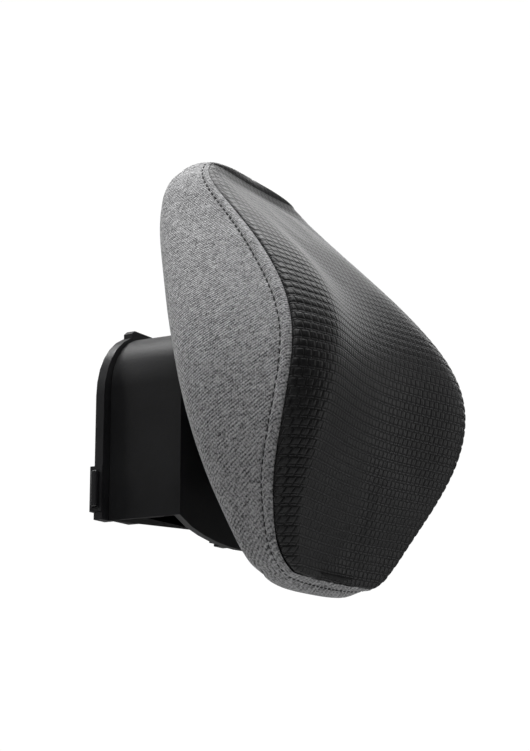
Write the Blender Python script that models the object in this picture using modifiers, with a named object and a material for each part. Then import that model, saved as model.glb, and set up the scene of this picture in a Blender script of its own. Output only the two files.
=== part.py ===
"""Clip-on headrest for a task chair: a saddle hood that caps the chair's top
rail, a friction tilt hinge, and an upholstered cushion.

Metres, +Z up.  X is the width of the headrest, -Y is the side the head rests
on, +Y is the chair side.  The origin is on the hood's ceiling, where the
chair's rail stops.  Run with: blender --background --python part.py
"""
import math
import bpy
import bmesh
import numpy as np
from mathutils import Matrix, Vector

MM = 0.001

# ---------------------------------------------------------------- dimensions
# hood (all in millimetres)
HOOD_W = 100.0          # outside width
HOOD_FRONT = -18.7      # front face of the front wall, Y
HOOD_REAR = 18.6        # rear edge of the side walls, Y
HOOD_TOP = 3.5          # outside of the roof, Z
HOOD_BOTTOM = -84.4     # lower edge of the side walls, Z
HOOD_R = 28.0           # outside corner radius of the roof
WALL = 3.5
FRONT_T = 3.2           # front wall thickness
LIP = 12.0              # inward lip at the foot of each side wall
LIP_T = 3.0
APRON = 9.5             # how far the front wall bows below the side walls
# clip frame
RIM_OUT = 5.0           # how far the rim stands proud of the hood's sides
RIM_TOP = 1.2           # how far it stands proud of the roof
TONGUE_HW = 34.0        # raised tongue on top of the rim
TONGUE_RISE = 1.6
RIM_T = 4.4
RIM_W = 8.6             # radial width of the rim
EAR_Z = (-80.8, -60.4)
EAR_X = (46.8, 55.4)    # block that holds the release tab
EAR_Y1 = 25.4
PIN_X = 53.4            # retaining pin of a tab
TAB_PROUD = 2.2         # how far a tab stands out of its block
TAB_TRAVEL = 2.0
# hinge
PIVOT = (0.0, -29.2, -39.4)
LEAN = 15.0             # lean of the cushion's back, degrees
LUG_R = 7.5
LUG_IN, LUG_OUT = 15.2, 20.2
BARREL = 13.0           # half length of the yoke barrel
PIN_R = 3.9
BASE_W, BASE_H, BASE_T = 60.0, 40.0, 3.0
YOKE_W, YOKE_H, YOKE_T = 56.0, 42.0, 3.0
YOKE_Y = -8.4           # rear face of the yoke plate, from the pivot
SHELL_T = 3.0
POCKET_W, POCKET_H = 64.0, 54.0
BEZEL_T = 1.6
# cushion skin
COVER_T = 1.6
GAP = 0.3

# cushion: one row per height.  z, half width at the seam, seam y, half width
# at the ridge, ridge y, depth of the head cradle, y of the back
STATIONS = [
    (-111.4, 37.7, -67.6, 31.2, -70.0, 2.0, -49.6),
    (-108.4, 43.4, -67.5, 36.3, -71.5, 3.0, -47.6),
    (-102.4, 50.6, -67.7, 43.0, -74.6, 4.0, -45.6),
    (-94.4, 57.0, -69.4, 48.7, -77.9, 5.2, -43.6),
    (-84.4, 63.8, -72.6, 53.7, -82.7, 6.2, -41.1),
    (-74.4, 70.2, -76.6, 57.7, -87.7, 7.2, -38.7),
    (-64.4, 75.2, -81.0, 60.6, -92.6, 8.2, -36.3),
    (-54.4, 79.0, -85.2, 62.5, -97.0, 8.8, -33.9),
    (-44.4, 81.4, -88.6, 63.1, -100.4, 9.2, -31.4),
    (-34.4, 82.5, -91.1, 62.6, -102.5, 9.4, -28.8),
    (-24.4, 82.4, -92.1, 60.9, -103.0, 9.2, -26.1),
    (-14.4, 81.2, -91.2, 58.0, -101.6, 8.6, -23.3),
    (-4.4, 79.0, -88.2, 53.7, -98.1, 8.0, -20.2),
    (5.6, 76.0, -83.3, 48.5, -92.7, 7.4, -17.1),
    (15.6, 72.3, -76.8, 43.6, -85.6, 6.6, -13.9),
    (25.6, 68.4, -69.2, 40.0, -77.3, 5.8, -10.7),
    (35.6, 64.1, -60.7, 38.2, -68.0, 5.0, -7.5),
    (45.6, 59.5, -51.5, 38.0, -58.2, 4.0, -4.7),
    (55.6, 54.8, -42.0, 38.2, -48.1, 3.0, -3.0),
    (65.6, 49.9, -33.4, 37.6, -38.2, 2.0, -2.8),
    (73.6, 44.0, -28.3, 35.2, -30.8, 1.2, -4.4),
    (77.6, 39.5, -26.7, 31.1, -28.3, 0.8, -6.6),
]
BAND = 1.75             # roundness of the band between ridge and seam
SQUARE = 8.0            # how square the cushion's rear corners are
SQUARE_END = 2.4        # the same where the cushion closes at top and foot
HOLLOW = 6.5            # dish in the back that clears the hood
HOLLOW_Z, HOLLOW_H, HOLLOW_HW = -4.0, 46.0, 66.0
TOP_RISE, TOP_CREST = 4.2, 5.2
FOOT_DROP, FOOT_CREST = 1.0, 5.0

N_FRONT = 16            # faces across the front panel
N_BACK = 20             # faces around sides and back
N_ROWS = 18
N_CAP = 5


# ---------------------------------------------------------------- utilities
def clear_scene():
    for ob in list(bpy.data.objects):
        bpy.data.objects.remove(ob, do_unlink=True)
    for block in (bpy.data.meshes, bpy.data.curves, bpy.data.materials):
        for item in list(block):
            block.remove(item)


def material(name, color, rough, metallic=0.0):
    mat = bpy.data.materials.new(name)
    mat.use_nodes = True
    bsdf = mat.node_tree.nodes["Principled BSDF"]
    bsdf.inputs["Base Color"].default_value = (*color, 1.0)
    bsdf.inputs["Roughness"].default_value = rough
    bsdf.inputs["Metallic"].default_value = metallic
    mat.diffuse_color = (*color, 1.0)
    return mat


def link(ob, coll, parent=None):
    for c in list(ob.users_collection):
        c.objects.unlink(ob)
    coll.objects.link(ob)
    if parent is not None:
        ob.parent = parent
    return ob


def mesh_object(name, bm, mat=None):
    me = bpy.data.meshes.new(name)
    bmesh.ops.recalc_face_normals(bm, faces=bm.faces)
    bm.to_mesh(me)
    bm.free()
    ob = bpy.data.objects.new(name, me)
    bpy.context.scene.collection.objects.link(ob)
    if mat is not None:
        me.materials.append(mat)
    return ob


def box(name, x, y, z, mat=None, bevel=0.0, seg=2):
    """Box from three (low, high) pairs in millimetres."""
    bm = bmesh.new()
    bmesh.ops.create_cube(bm, size=1.0)
    size = [(b - a) * MM for a, b in (x, y, z)]
    mid = [(a + b) * 0.5 * MM for a, b in (x, y, z)]
    bmesh.ops.scale(bm, vec=size, verts=bm.verts)
    if bevel:
        bmesh.ops.bevel(bm, geom=list(bm.edges), offset=bevel * MM, segments=seg,
                        profile=0.5, affect="EDGES")
    ob = mesh_object(name, bm, mat)
    ob.location = mid
    return ob


def cylinder(name, r, a, b, axis, at, seg=16, mat=None, r2=None):
    """Cylinder or cone from a to b (mm) along X, Y or Z; at gives the other two."""
    bm = bmesh.new()
    bmesh.ops.create_cone(bm, cap_ends=True, cap_tris=False, segments=seg,
                          radius1=r * MM, radius2=(r if r2 is None else r2) * MM,
                          depth=abs(b - a) * MM)
    if axis == "X":
        bmesh.ops.rotate(bm, matrix=Matrix.Rotation(math.pi / 2, 3, "Y"), verts=bm.verts)
        mid = Vector(((a + b) / 2, at[0], at[1]))
    elif axis == "Y":
        bmesh.ops.rotate(bm, matrix=Matrix.Rotation(-math.pi / 2, 3, "X"), verts=bm.verts)
        mid = Vector((at[0], (a + b) / 2, at[1]))
    else:
        mid = Vector((at[0], at[1], (a + b) / 2))
    ob = mesh_object(name, bm, mat)
    ob.location = mid * MM
    return ob


def turned(name, profile, axis, at, seg=20, mat=None):
    """A turned ring: profile of (radius, along) pairs in mm, spun about the axis."""
    bm = bmesh.new()
    vs = [bm.verts.new((r * MM, 0.0, h * MM)) for r, h in profile]
    for i in range(len(vs)):
        bm.edges.new((vs[i], vs[(i + 1) % len(vs)]))
    me = bpy.data.meshes.new(name)
    bm.to_mesh(me)
    bm.free()
    ob = bpy.data.objects.new(name, me)
    bpy.context.scene.collection.objects.link(ob)
    if mat is not None:
        me.materials.append(mat)
    mod = ob.modifiers.new("spin", "SCREW")
    mod.axis = "Z"
    mod.angle = 2 * math.pi
    mod.steps = mod.render_steps = seg
    mod.use_merge_vertices = True
    mod.merge_threshold = 0.00001
    mod.use_smooth_shade = False
    mod.use_normal_flip = True
    if axis == "X":
        ob.rotation_euler = (0.0, math.pi / 2, 0.0)
    elif axis == "Y":
        ob.rotation_euler = (-math.pi / 2, 0.0, 0.0)
    ob.location = Vector(at) * MM
    return ob


def hex_nut(name, r, across, a, b, axis, at, cutters, mat):
    """Six-sided nut; across is the corner radius."""
    ob = cylinder(name, across, a, b, axis, at, 6, mat)
    bore = cylinder(name + "_bore", r, a - 1, b + 1, axis, at, 12)
    boolean(ob, bore, "DIFFERENCE", cutters)
    return ob


def boolean(target, cutter, op, cutters, name=""):
    mod = target.modifiers.new(name or op.lower(), "BOOLEAN")
    mod.operation = op
    mod.solver = "EXACT"
    mod.object = cutter
    link(cutter, cutters)
    cutter.hide_render = True
    cutter.display_type = "WIRE"
    return mod


# ---------------------------------------------------------------- cushion form
TAB = np.array(STATIONS)


def hermite(z, col):
    """Smooth interpolation of one station column at heights z."""
    zs, vs = TAB[:, 0], TAB[:, col]
    m = np.gradient(vs, zs)
    z = np.clip(np.asarray(z, float), zs[0], zs[-1])
    i = np.clip(np.searchsorted(zs, z) - 1, 0, len(zs) - 2)
    h = zs[i + 1] - zs[i]
    t = (z - zs[i]) / h
    return ((2 * t**3 - 3 * t**2 + 1) * vs[i] + (t**3 - 2 * t**2 + t) * h * m[i]
            + (-2 * t**3 + 3 * t**2) * vs[i + 1] + (t**3 - t**2) * h * m[i + 1])


def section(z, u, inset=0.0, square=SQUARE):
    """x, y of the loop at height z, drawn in by the inset.  u 0..1 runs from the
    cradle's centre over the ridge to the seam, 1..2 from the seam round the side
    to the back's centre."""
    xs, ys, xr, yr, dep, yk = (float(hermite(z, k)) for k in range(1, 7))
    xs -= inset
    xr = min(xr - 0.5 * inset, xs - 3.0)
    yr = min(yr + inset, ys - 0.5)
    yk -= inset
    u = np.asarray(u, float)
    x, y = np.zeros_like(u), np.zeros_like(u)
    a = u <= 0.62
    t = u[a] / 0.62
    x[a] = xr * t
    y[a] = yr + dep * (1 - t**2)**1.5
    b = (u > 0.62) & (u <= 1.0)
    ang = (u[b] - 0.62) / 0.38 * math.pi / 2
    x[b] = xr + (xs - xr) * np.sin(ang)**(2 / BAND)
    y[b] = ys + (yr - ys) * np.cos(ang)**(2 / BAND)
    c = u > 1.0
    ang = (u[c] - 1.0) * math.pi / 2
    x[c] = xs * np.cos(ang)**(2 / square)
    y[c] = ys + (yk - ys) * np.sin(ang)**(2 / square)
    dish = max(0.0, 1 - ((z - HOLLOW_Z) / HOLLOW_H)**2)**2
    y[c] -= HOLLOW * dish * np.clip(1 - (x[c] / HOLLOW_HW)**2, 0, 1)**2 * (ang > 0.6)
    return x, y


def u_samples():
    front = np.linspace(0.0, 1.0, N_FRONT // 2 + 1)
    k = np.linspace(0.0, 1.0, N_BACK // 2 + 1)[1:]
    # samples bunch up at the rear corner, where the section turns fastest
    back = 1.0 + 0.5 + 0.5 * np.sign(2 * k - 1) * np.abs(2 * k - 1)**1.7
    return np.concatenate([front, back])


def cushion_grid(inset=0.0):
    """Rows of closed loops (x, y, z in mm) from the foot pole to the top pole."""
    u = u_samples()
    z0, z1 = TAB[0, 0], TAB[-1, 0]
    zs = z0 + (z1 - z0) * np.linspace(0, 1, N_ROWS + 1)
    zmid = 0.5 * (z0 + z1)
    squeeze = 1.0 - inset / (z1 - zmid)
    rows = []

    def full(x, y, z):
        # right half from the cradle centre to the back centre, then mirrored
        xr = np.concatenate([x, -x[-2:0:-1]])
        yr = np.concatenate([y, y[-2:0:-1]])
        zr = np.concatenate([z, z[-2:0:-1]])
        return np.stack([xr, yr, zr], 1)

    def cap(zc, rise, crest, up):
        out = []
        x, y = section(zc, u, inset)
        pole_y = y[u <= 1.0][-1] + 1.0
        w = np.clip((u - 1.0) / 0.5, 0, 1)
        w = w * w * (3 - 2 * w)
        front = np.clip(1 - u, 0, 1)
        for k in range(1, N_CAP + 1):
            x, y = section(zc, u, inset, SQUARE_END + (SQUARE - SQUARE_END) * (1 - k / N_CAP)**1.5)
            a = k / N_CAP * math.pi / 2
            s = math.cos(a)**0.9 if k < N_CAP else 0.0
            zz = zc + up * (rise * math.sin(a) + 2.6 * crest * math.sin(a)**2 * math.cos(a) * w
                            - 0.8 * math.sin(2 * a) * front)
            zz = zmid + (zz - zmid) * squeeze
            out.append((x * s, pole_y + (y - pole_y) * s, zz + 0 * x))
        return out

    for r in reversed(cap(z0, FOOT_DROP, FOOT_CREST, -1)):
        rows.append(full(*r))
    for z in zs:
        x, y = section(z, u, inset)
        rows.append(full(x, y, np.full_like(x, zmid + (z - zmid) * squeeze)))
    for r in cap(z1, TOP_RISE, TOP_CREST, 1):
        rows.append(full(*r))
    return np.array(rows), len(u)


def solid_from_grid(name, g, mat):
    """Closed solid from a full grid whose first and last rows are poles."""
    bm = bmesh.new()
    nr, nc = g.shape[:2]
    pole0 = bm.verts.new(g[0].mean(0) * MM)
    pole1 = bm.verts.new(g[-1].mean(0) * MM)
    vs = [[bm.verts.new(g[r, c] * MM) for c in range(nc)] for r in range(1, nr - 1)]
    for c in range(nc):
        d = (c + 1) % nc
        bm.faces.new((pole0, vs[0][d], vs[0][c]))
        bm.faces.new((pole1, vs[-1][c], vs[-1][d]))
        for r in range(len(vs) - 1):
            bm.faces.new((vs[r][c], vs[r][d], vs[r + 1][d], vs[r + 1][c]))
    bmesh.ops.triangulate(bm, faces=bm.faces)
    return mesh_object(name, bm, mat)


def skin_from_grid(name, outer, inner, cols, mat, shift=(0, 0, 0)):
    """A closed skin between two grids over the columns cols (in order)."""
    bm = bmesh.new()
    sh = np.array(shift, float)
    nr = outer.shape[0]

    def layer(g):
        p0 = bm.verts.new((g[0].mean(0) + sh) * MM)
        p1 = bm.verts.new((g[-1].mean(0) + sh) * MM)
        body = [[bm.verts.new((g[r, c] + sh) * MM) for c in cols] for r in range(1, nr - 1)]
        return p0, p1, body

    o0, o1, ob = layer(outer)
    i0, i1, ib = layer(inner)
    m = len(cols)
    for (p0, p1, b, flip) in ((o0, o1, ob, False), (i0, i1, ib, True)):
        for c in range(m - 1):
            f = [(p0, b[0][c + 1], b[0][c]), (p1, b[-1][c], b[-1][c + 1])]
            f += [(b[r][c], b[r][c + 1], b[r + 1][c + 1], b[r + 1][c]) for r in range(len(b) - 1)]
            for q in f:
                bm.faces.new(tuple(reversed(q)) if flip else q)
    for c in (0, m - 1):
        col_o = [o0] + [r[c] for r in ob] + [o1]
        col_i = [i0] + [r[c] for r in ib] + [i1]
        for r in range(len(col_o) - 1):
            q = (col_o[r], col_o[r + 1], col_i[r + 1], col_i[r])
            bm.faces.new(q if c else tuple(reversed(q)))
    bmesh.ops.triangulate(bm, faces=bm.faces)
    return mesh_object(name, bm, mat)


# ---------------------------------------------------------------- hood outline
def arch(half_w, top, bottom, radius, seg=8):
    """Outline of an upright arch with rounded upper corners, as (x, z)."""
    pts = [(half_w, bottom), (half_w, top - radius)]
    for k in range(1, seg + 1):
        a = k / seg * math.pi / 2
        pts.append((half_w - radius + radius * math.cos(a), top - radius + radius * math.sin(a)))
    left = [(-x, z) for x, z in reversed(pts)]
    return pts + left


def outline_solid(name, outline, y0, y1, mat=None):
    """A flat outline in the XZ plane given depth along Y."""
    cu = bpy.data.curves.new(name, "CURVE")
    cu.dimensions = "2D"
    cu.fill_mode = "BOTH"
    sp = cu.splines.new("POLY")
    sp.points.add(len(outline) - 1)
    for p, (x, z) in zip(sp.points, outline):
        p.co = (x * MM, z * MM, 0.0, 1.0)
    sp.use_cyclic_u = True
    cu.extrude = (y1 - y0) / 2 * MM
    tmp = bpy.data.objects.new(name + "_outline", cu)
    bpy.context.scene.collection.objects.link(tmp)
    bpy.context.view_layer.update()
    me = bpy.data.meshes.new_from_object(tmp)
    bpy.data.objects.remove(tmp, do_unlink=True)
    bm = bmesh.new()
    bm.from_mesh(me)
    bpy.data.meshes.remove(me)
    bmesh.ops.remove_doubles(bm, verts=bm.verts, dist=0.000005)
    bmesh.ops.rotate(bm, matrix=Matrix.Rotation(math.pi / 2, 3, "X"), verts=bm.verts)
    bmesh.ops.translate(bm, vec=(0, (y0 + y1) / 2 * MM, 0), verts=bm.verts)
    bmesh.ops.dissolve_limit(bm, angle_limit=0.001, verts=bm.verts, edges=bm.edges)
    return mesh_object(name, bm, mat)


def spring(name, axis_x, turns, r, wire, at, mat, seg=10):
    """Round-wire compression spring along X between two x values (mm)."""
    cu = bpy.data.curves.new(name, "CURVE")
    cu.dimensions = "3D"
    cu.bevel_depth = wire * MM
    cu.bevel_resolution = 1
    cu.resolution_u = 1
    cu.use_fill_caps = True
    sp = cu.splines.new("POLY")
    n = int(turns * seg)
    sp.points.add(n)
    x0, x1 = axis_x[0] + wire, axis_x[1] - wire
    for k, p in enumerate(sp.points):
        a = 2 * math.pi * k / seg
        t = k / n
        p.co = ((x0 + (x1 - x0) * t) * MM, (at[0] + r * math.cos(a)) * MM,
                (at[1] + r * math.sin(a)) * MM, 1.0)
    ob = bpy.data.objects.new(name, cu)
    bpy.context.scene.collection.objects.link(ob)
    cu.materials.append(mat)
    w = ob.modifiers.new("weld", "WELD")
    w.merge_threshold = 0.000005
    return ob


# ---------------------------------------------------------------- the model
def main():
    clear_scene()
    scene = bpy.context.scene
    scene.unit_settings.system = "METRIC"
    part = bpy.data.collections.new("chair_headrest_attachment")
    cutters = bpy.data.collections.new("cutters")
    scene.collection.children.link(part)
    scene.collection.children.link(cutters)

    black = material("moulded_black", (0.018, 0.018, 0.020), 0.46)
    black_rim = material("moulded_black_rim", (0.024, 0.024, 0.026), 0.40)
    black_tab = material("tab_black", (0.014, 0.014, 0.015), 0.38)
    knit = material("black_weave", (0.022, 0.022, 0.024), 0.62)
    heather = material("grey_heather", (0.205, 0.205, 0.210), 0.92)
    foam = material("foam", (0.78, 0.74, 0.62), 0.95)
    board = material("shell_plastic", (0.10, 0.10, 0.105), 0.55)
    steel = material("steel_plate", (0.045, 0.045, 0.048), 0.35, 0.9)
    zinc = material("zinc", (0.55, 0.55, 0.57), 0.32, 1.0)
    rubber = material("rubber_pad", (0.03, 0.03, 0.03), 0.85)
    spring_m = material("spring_steel", (0.42, 0.42, 0.44), 0.28, 1.0)
    nylon = material("nylon", (0.62, 0.60, 0.55), 0.55)

    hw = HOOD_W / 2

    def placed(ob, parent=None):
        return link(ob, part, parent)

    # ---- saddle hood: shell, front wall with bowed apron, bottom lips
    outer = arch(hw, HOOD_TOP, HOOD_BOTTOM, HOOD_R)
    hood = outline_solid("saddle_hood", outer, HOOD_FRONT, HOOD_REAR, black)
    inner = arch(hw - WALL, HOOD_TOP - WALL, HOOD_BOTTOM - 20, HOOD_R - WALL)
    hollow = outline_solid("hood_hollow", inner, HOOD_FRONT + FRONT_T, HOOD_REAR + 5)
    boolean(hood, hollow, "DIFFERENCE", cutters)
    # the apron: the front wall bows down between the side walls
    arc = []
    n = 10
    for k in range(n + 1):
        t = -1 + 2 * k / n
        arc.append((t * (hw - 0.02), HOOD_BOTTOM - APRON * (1 - t * t)**0.8))
    apron = outline_solid("apron", [(-hw + 0.02, HOOD_BOTTOM + 6)] + arc +
                          [(hw - 0.02, HOOD_BOTTOM + 6)],
                          HOOD_FRONT + 0.02, HOOD_FRONT + FRONT_T - 0.02)
    boolean(hood, apron, "UNION", cutters)
    for s in (-1, 1):
        x0, x1 = sorted((s * (hw - 1.0), s * (hw - WALL - LIP)))
        lip = box("lip_%s" % ("l" if s < 0 else "r"), (x0, x1),
                  (HOOD_FRONT + 1.0, HOOD_REAR - 0.02), (HOOD_BOTTOM + 0.02, HOOD_BOTTOM + LIP_T))
        boolean(hood, lip, "UNION", cutters)
    base_xz = [(sx * 23.0, PIVOT[2] + sz * 14.0) for sx in (-1, 1) for sz in (-1, 1)]
    for k, (x, z) in enumerate(base_xz):
        h = cylinder("hood_hole_%d" % k, 2.6, HOOD_FRONT - 3, HOOD_FRONT + FRONT_T + 3, "Y", (x, z), 12)
        boolean(hood, h, "DIFFERENCE", cutters)
    placed(hood)

    # ---- rear clip frame
    rim_outer = arch(hw + RIM_OUT, HOOD_TOP + RIM_TOP, HOOD_BOTTOM, HOOD_R + RIM_OUT)
    rim_inner = arch(hw + RIM_OUT - RIM_W, HOOD_TOP - WALL, HOOD_BOTTOM - 10, HOOD_R - WALL)
    y0 = HOOD_REAR + GAP
    rim = outline_solid("rear_clip_frame", rim_outer, y0, y0 + RIM_T, black_rim)
    rim_cut = outline_solid("rim_hollow", rim_inner, y0 - 3, y0 + RIM_T + 3)
    boolean(rim, rim_cut, "DIFFERENCE", cutters)
    tongue = outline_solid("rim_tongue", [(-TONGUE_HW, HOOD_TOP - 2.7), (-TONGUE_HW, HOOD_TOP + TONGUE_RISE - 0.6),
                                          (-TONGUE_HW + 2.5, HOOD_TOP + RIM_TOP + TONGUE_RISE),
                                          (TONGUE_HW - 2.5, HOOD_TOP + RIM_TOP + TONGUE_RISE),
                                          (TONGUE_HW, HOOD_TOP + TONGUE_RISE - 0.6), (TONGUE_HW, HOOD_TOP - 2.7)],
                           y0 + 0.03, y0 + RIM_T - 0.03)
    boolean(rim, tongue, "UNION", cutters)
    for s, tag in ((-1, "left"), (1, "right")):
        x0, x1 = sorted((s * EAR_X[0], s * EAR_X[1]))
        ear = box("ear_block_" + tag, (x0, x1), (y0 + 0.05, EAR_Y1), EAR_Z)
        boolean(rim, ear, "UNION", cutters)
        xa, xb = sorted((s * (EAR_X[0] + 1.5), s * (EAR_X[1] + 3)))
        pocket = box("ear_pocket_" + tag, (xa, xb), (y0 + 1.4, EAR_Y1 - 1.4),
                     (EAR_Z[0] + 1.8, EAR_Z[1] - 1.8))
        boolean(rim, pocket, "DIFFERENCE", cutters)
        ph = cylinder("ear_pin_hole_" + tag, 1.1, EAR_Z[0] + 0.6, EAR_Z[1] - 0.6, "Z",
                      (s * PIN_X, (y0 + EAR_Y1) / 2), 12)
        boolean(rim, ph, "DIFFERENCE", cutters)
    for k, (x, z) in enumerate(rim_screw_xz()):
        h = cylinder("rim_hole_%d" % k, 1.3, y0 - 3, y0 + RIM_T + 3, "Y", (x, z), 12)
        boolean(rim, h, "DIFFERENCE", cutters)
        h2 = cylinder("hood_boss_hole_%d" % k, 1.3, HOOD_REAR - 9, HOOD_REAR + 3, "Y", (x, z), 12)
        boolean(hood, h2, "DIFFERENCE", cutters)
    placed(rim)

    # ---- rim screws
    for k, (x, z) in enumerate(rim_screw_xz()):
        s = cylinder("rim_screw_%d" % (k + 1), 1.0, HOOD_REAR - 8, y0 + RIM_T + 0.4, "Y", (x, z), 10, zinc)
        hd = cylinder("rim_screw_head_%d" % k, 2.0, y0 + RIM_T + 0.3, y0 + RIM_T + 1.7, "Y", (x, z), 12)
        boolean(s, hd, "UNION", cutters)
        placed(s)

    # ---- release tabs, springs, pins
    for s, tag in ((-1, "left"), (1, "right")):
        ym = (y0 + EAR_Y1) / 2
        x_out = EAR_X[1] + TAB_PROUD
        x_in = EAR_X[0] + 1.5 + 2.7
        xa, xb = sorted((s * x_in, s * x_out))
        tab = box("release_tab_" + tag, (xa, xb), (y0 + 1.7, EAR_Y1 - 1.7),
                  (EAR_Z[0] + 2.1, EAR_Z[1] - 2.1), black_tab, bevel=0.5, seg=1)
        xc, xd = sorted((s * (PIN_X - 1.35), s * (PIN_X + 1.3 + TAB_TRAVEL)))
        slot = box("tab_slot_" + tag, (xc, xd), (ym - 1.3, ym + 1.3), (EAR_Z[0] - 2, EAR_Z[1] + 2))
        boolean(tab, slot, "DIFFERENCE", cutters)
        placed(tab)
        pin = cylinder("tab_pin_" + tag, 0.9, EAR_Z[0] + 0.8, EAR_Z[1] - 0.8, "Z",
                       (s * PIN_X, ym), 12, zinc)
        placed(pin)
        a, b = sorted((s * (EAR_X[0] + 1.5 + 0.15), s * (x_in - 0.15)))
        sp = spring("tab_spring_" + tag, (a, b), 2.5, 1.35, 0.25,
                    (ym, (EAR_Z[0] + EAR_Z[1]) / 2), spring_m)
        placed(sp)

    # ---- rubber pads that grip the rail
    for s, tag in ((-1, "left"), (1, "right")):
        xa, xb = sorted((s * (hw - WALL - GAP), s * (hw - WALL - GAP - 1.8)))
        placed(box("grip_pad_" + tag, (xa, xb), (-11, 13), (-66, -34), rubber, bevel=0.5, seg=1))
    placed(box("grip_pad_front", (-16, 16), (HOOD_FRONT + FRONT_T + GAP, HOOD_FRONT + FRONT_T + GAP + 1.8),
               (-80, -62), rubber, bevel=0.5, seg=1))

    # ---- hinge base: plate and two lugs
    px, py, pz = PIVOT
    b1 = HOOD_FRONT - GAP
    b0 = b1 - BASE_T
    plate = box("hinge_base", (-BASE_W / 2, BASE_W / 2), (b0, b1),
                (pz - BASE_H / 2, pz + BASE_H / 2), steel, bevel=0.0)
    for s in (-1, 1):
        xa, xb = sorted((s * LUG_IN, s * LUG_OUT))
        web = box("lug_web_%d" % s, (xa + 0.01, xb - 0.01), (py, b0 + 0.6), (pz - LUG_R + 0.05, pz + LUG_R - 0.05))
        boolean(plate, web, "UNION", cutters)
        eye = cylinder("lug_eye_%d" % s, LUG_R, xa, xb, "X", (py, pz), 24)
        boolean(plate, eye, "UNION", cutters)
        hole = cylinder("lug_hole_%d" % s, PIN_R + 0.12, xa - 1, xb + 1, "X", (py, pz), 24)
        boolean(plate, hole, "DIFFERENCE", cutters)
    for k, (x, z) in enumerate(base_xz):
        h = cylinder("base_hole_%d" % k, 2.6, b0 - 2, b1 + 2, "Y", (x, z), 12)
        boolean(plate, h, "DIFFERENCE", cutters)
    placed(plate)
    for k, (x, z) in enumerate(base_xz):
        hy = HOOD_FRONT + FRONT_T + 0.3
        s = cylinder("base_bolt_%d" % (k + 1), 2.2, b0 - 3.4, hy + 0.2, "Y", (x, z), 12, zinc)
        hd = cylinder("base_bolt_head_%d" % k, 4.0, hy, hy + 2.2, "Y", (x, z), 16)
        boolean(s, hd, "UNION", cutters)
        placed(s)
        placed(hex_nut("base_nut_%d" % (k + 1), 2.5, 4.3, b0 - GAP - 2.6, b0 - GAP, "Y", (x, z), cutters, zinc))

    # ---- cushion body: everything below hangs from an empty on the tilt axis
    axis = bpy.data.objects.new("tilt_axis", None)
    axis.empty_display_size = 0.02
    axis.location = Vector(PIVOT) * MM
    part.objects.link(axis)
    bpy.context.view_layer.update()

    def on_axis(ob):
        """Parent to the tilt axis without moving; the origin goes to the axis."""
        bpy.context.view_layer.update()
        m = ob.matrix_world.copy()
        shift = Matrix.Translation(-Vector(PIVOT) * MM)
        if ob.type == "MESH" and not any(md.type == "SCREW" for md in ob.modifiers):
            ob.data.transform(shift @ m)
            ob.matrix_world = Matrix.Identity(4)
            link(ob, part, axis)
            ob.location = (0, 0, 0)
            ob.rotation_euler = (0, 0, 0)
        else:
            link(ob, part, axis)
            ob.location = m.translation - Vector(PIVOT) * MM
        return ob

    lean = Matrix.Rotation(math.radians(-LEAN), 4, "X")
    P = Vector(PIVOT) * MM

    def leaned(ob):
        """Turn an object that was made square about the pivot by the lean."""
        bpy.context.view_layer.update()
        m = ob.matrix_world.copy()
        ob.data.transform(m)
        ob.data.transform(Matrix.Translation(P) @ lean @ Matrix.Translation(-P))
        ob.location = (0, 0, 0)
        ob.rotation_euler = (0, 0, 0)
        return ob

    # yoke
    ya = py + YOKE_Y
    yoke = leaned(box("hinge_yoke", (-YOKE_W / 2, YOKE_W / 2), (ya - YOKE_T, ya),
                      (pz - YOKE_H / 2, pz + YOKE_H / 2), steel))
    web = leaned(box("yoke_web", (-BARREL + 0.01, BARREL - 0.01), (ya - 1.0, py), (pz - 6.0, pz + 6.0)))
    boolean(yoke, web, "UNION", cutters)
    bar = cylinder("yoke_barrel", LUG_R - 0.3, -BARREL, BARREL, "X", (py, pz), 24)
    boolean(yoke, bar, "UNION", cutters)
    hole = cylinder("yoke_bore", PIN_R + 0.12, -BARREL - 1, BARREL + 1, "X", (py, pz), 24)
    boolean(yoke, hole, "DIFFERENCE", cutters)
    yoke_xz = [(sx * 22.0, pz + sz * 15.0) for sx in (-1, 1) for sz in (-1, 1)]
    for k, (x, z) in enumerate(yoke_xz):
        h = leaned(cylinder("yoke_hole_%d" % k, 2.3, ya - YOKE_T - 1, ya + 2, "Y", (x, z), 12))
        boolean(yoke, h, "DIFFERENCE", cutters)
    on_axis(yoke)

    # hinge pin with its head, washers and nut: fixed in the lugs
    pin = cylinder("hinge_pin", PIN_R, -LUG_OUT - 0.3, LUG_OUT + 5.6, "X", (py, pz), 24, zinc)
    head = cylinder("pin_head", 6.2, -LUG_OUT - 3.2, -LUG_OUT - 0.25, "X", (py, pz), 24)
    boolean(pin, head, "UNION", cutters)
    placed(pin)
    placed(hex_nut("lock_nut", PIN_R + 0.15, 7.0, LUG_OUT + 1.1, LUG_OUT + 5.4, "X", (py, pz), cutters, zinc))
    placed(turned("nut_washer", [(PIN_R + 0.15, 0), (6.8, 0), (6.8, 0.7), (PIN_R + 0.15, 0.7)],
                  "X", (LUG_OUT + 0.2, py, pz), 24, zinc))
    for s, tag in ((-1, "left"), (1, "right")):
        x = -LUG_IN + 0.15 if s < 0 else BARREL + 0.15
        placed(turned("friction_washer_" + tag,
                      [(PIN_R + 0.15, 0), (7.0, 0), (7.0, 0.9), (PIN_R + 0.15, 0.9)],
                      "X", (x, py, pz), 24, nylon))
        x = -BARREL - 0.15 - 0.8 if s < 0 else LUG_IN - 0.15 - 0.8
        placed(turned("disc_spring_" + tag,
                      [(PIN_R + 0.15, 0.0), (6.6, 0.25), (6.6, 0.8), (PIN_R + 0.15, 0.55)],
                      "X", (x, py, pz), 24, spring_m))

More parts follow.
